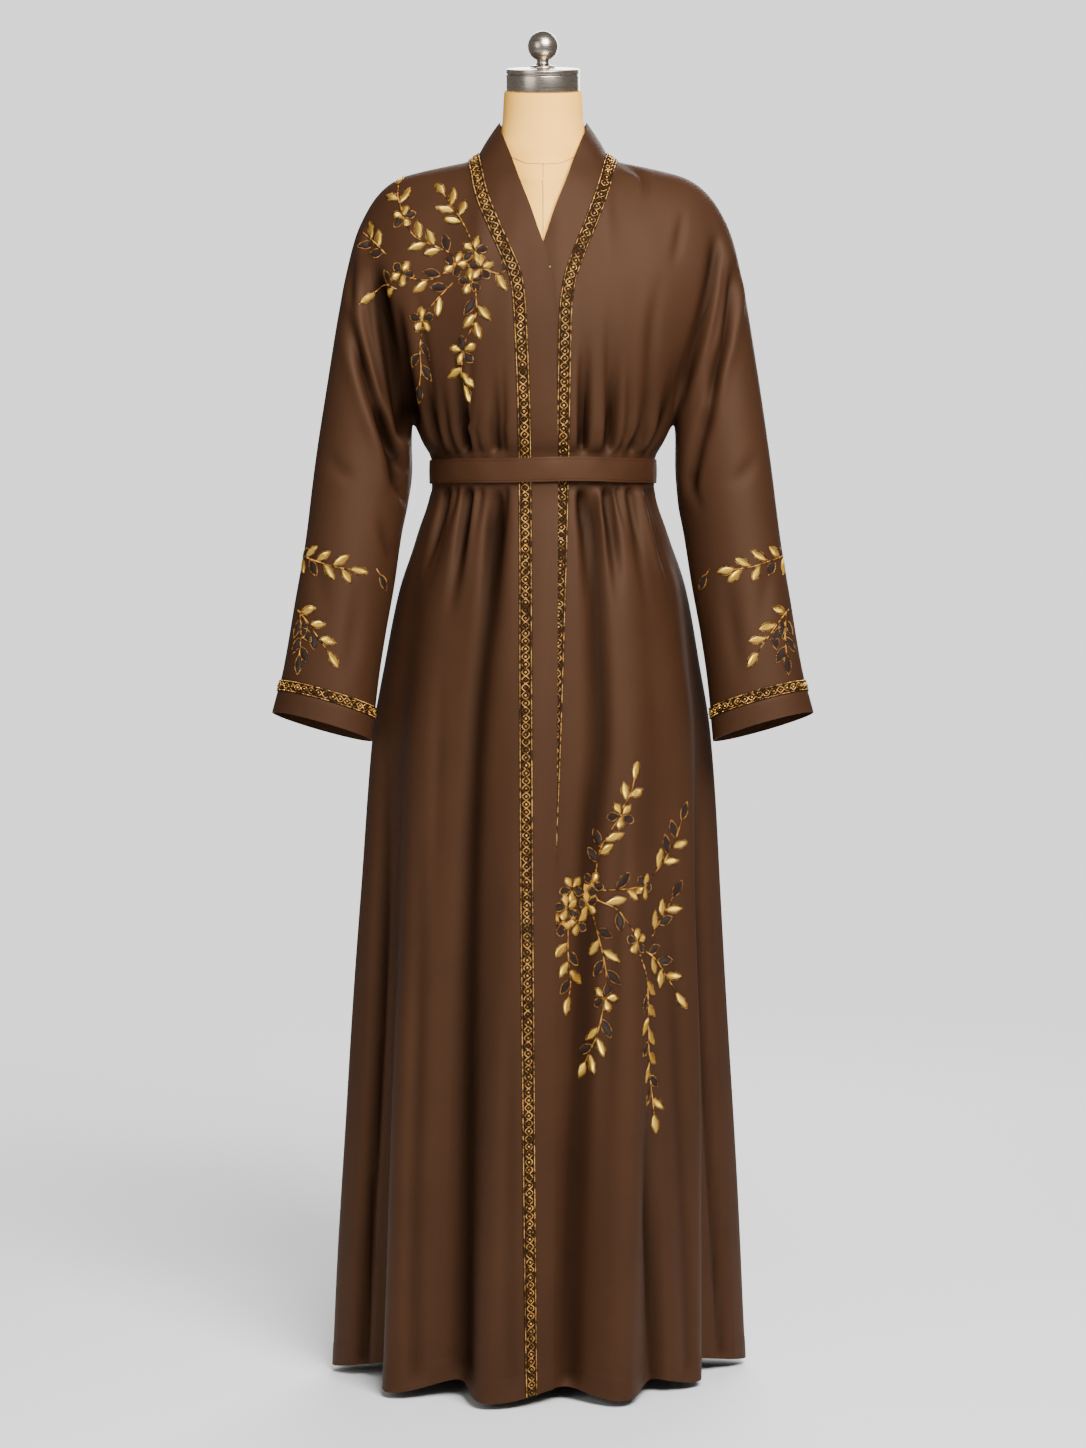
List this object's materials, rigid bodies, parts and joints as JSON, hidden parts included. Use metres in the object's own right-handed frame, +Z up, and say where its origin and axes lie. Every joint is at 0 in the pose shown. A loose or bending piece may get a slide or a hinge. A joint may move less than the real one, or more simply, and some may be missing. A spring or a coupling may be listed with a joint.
{
  "type": "abaya cloak on dress form",
  "caption": "Long open-front abaya cloak with wide sleeves, a plain front band, braid trim and a narrow belt, worn on a limbless dress form with a ball-topped neck cap.",
  "frame": {"origin": "on the floor under the dress form's pole, in the plane of the base's underside", "axes": "+Z up; -Y out of the garment's front; +X towards the wearer's left"},
  "size_m": [0.64, 0.4072, 1.6077],
  "materials": {
    "crepe": "smooth matt-satin crepe in warm brown",
    "braid": "braid of gold beads and cord on dark brown",
    "embroidery_gold": "raised satin-stitch leaves in pale metallic gold thread",
    "embroidery_dark": "dark brown satin stitch",
    "beads": "small antique gold beads",
    "form_cloth": "cream cotton cover, smooth and tightly drawn",
    "nickel": "brushed nickel, slightly dark",
    "iron": "black painted cast iron"
  },
  "bodies": {
    "root": {"back": "crepe", "front_right": "crepe", "front_left": "crepe", "sleeve_right": "crepe", "sleeve_left": "crepe", "band_right": "crepe", "band_left": "crepe", "belt": "crepe", "trim_right": "braid", "trim_left": "braid", "cuff_trim_right": "braid", "cuff_trim_left": "braid", "form_torso": "form_cloth", "form_neck_cap": "nickel", "form_finial": "nickel", "form_pole": "nickel", "form_base": "iron"}
  },
  "joints": []
}
